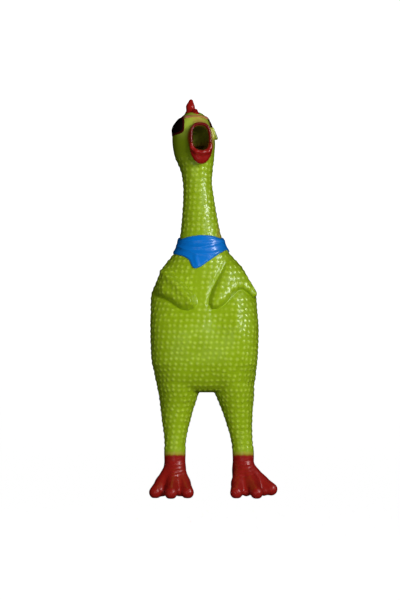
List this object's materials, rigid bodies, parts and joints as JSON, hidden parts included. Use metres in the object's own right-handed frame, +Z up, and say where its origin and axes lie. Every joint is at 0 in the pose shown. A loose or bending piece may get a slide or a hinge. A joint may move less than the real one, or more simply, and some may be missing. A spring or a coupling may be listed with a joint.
{
  "type": "rubber chicken",
  "caption": "Standing soft-vinyl rubber chicken with a nubbed skin, a gaping beak, sunglasses, a scarf and a reed squeaker in its throat.",
  "frame": {"origin": "centre of the overall footprint, on the surface that the soles rest on", "axes": "+Z up, towards the comb; the chicken faces -Y; its own left is +X"},
  "size_m": [0.1282, 0.081, 0.3999],
  "materials": {
    "lime_vinyl": "glossy, with pale nubs",
    "red_vinyl": "glossy paint",
    "blue_vinyl": "glossy paint",
    "black_vinyl": "glossy paint",
    "squeaker_plastic": "satin",
    "reed_film": "gloss"
  },
  "bodies": {
    "torso": {"torso_shell": "lime_vinyl", "tail": "lime_vinyl", "left_wing": "lime_vinyl", "right_wing": "lime_vinyl", "scarf": "blue_vinyl", "neck_base_skin": "lime_vinyl", "left_hip_skin": "lime_vinyl", "right_hip_skin": "lime_vinyl"},
    "belly": {"belly_panel": "lime_vinyl"},
    "neck": {"neck_shell": "lime_vinyl", "nape_skin": "lime_vinyl"},
    "head": {"head_shell": "lime_vinyl", "mouth_lining": "lime_vinyl", "upper_beak": "red_vinyl", "lower_beak": "red_vinyl", "comb": "red_vinyl", "glasses_frame": "red_vinyl", "left_lens": "black_vinyl", "right_lens": "black_vinyl", "squeaker_tube": "squeaker_plastic", "squeaker_cap": "squeaker_plastic", "reed_seat": "squeaker_plastic", "reed_wedge": "squeaker_plastic", "reed_tongue": "reed_film"},
    "leg_left": {"left_leg_shell": "lime_vinyl", "left_ankle_skin": "lime_vinyl"},
    "leg_right": {"right_leg_shell": "lime_vinyl", "right_ankle_skin": "lime_vinyl"},
    "foot_left": {"left_foot": "red_vinyl"},
    "foot_right": {"right_foot": "red_vinyl"}
  },
  "joints": [
    {"name": "belly_squeeze", "type": "slide", "parent": "torso", "child": "belly", "axis": [0, 1, 0], "range_m": [0, 0.014], "stiffness_N_per_m": 1000},
    {"name": "neck_bend", "type": "hinge", "parent": "torso", "child": "neck", "pos_m": [-0.0145, 0.001, 0.278], "axis": [1, 0, 0], "range_deg": [-30, 40], "stiffness_Nm_per_rad": 6, "deforming": ["neck_base_skin"]},
    {"name": "head_tilt", "type": "hinge", "parent": "neck", "child": "head", "pos_m": [-0.0172, 0.001, 0.323], "axis": [0, 1, 0], "range_deg": [-20, 20], "stiffness_Nm_per_rad": 5, "deforming": ["nape_skin"]},
    {"name": "left_hip", "type": "hinge", "parent": "torso", "child": "leg_left", "pos_m": [0.0235, 0, 0.086], "axis": [1, 0, 0], "range_deg": [-35, 25], "stiffness_Nm_per_rad": 5, "deforming": ["left_hip_skin"]},
    {"name": "right_hip", "type": "hinge", "parent": "torso", "child": "leg_right", "pos_m": [-0.037, 0, 0.086], "axis": [1, 0, 0], "range_deg": [-35, 25], "stiffness_Nm_per_rad": 5, "deforming": ["right_hip_skin"]},
    {"name": "left_ankle", "type": "hinge", "parent": "leg_left", "child": "foot_left", "pos_m": [0.0289, 0, 0.05], "axis": [1, 0, 0], "range_deg": [-20, 20], "stiffness_Nm_per_rad": 2.6, "deforming": ["left_ankle_skin"]},
    {"name": "right_ankle", "type": "hinge", "parent": "leg_right", "child": "foot_right", "pos_m": [-0.0391, 0, 0.05], "axis": [1, 0, 0], "range_deg": [-20, 20], "stiffness_Nm_per_rad": 2.6, "deforming": ["right_ankle_skin"]}
  ]
}
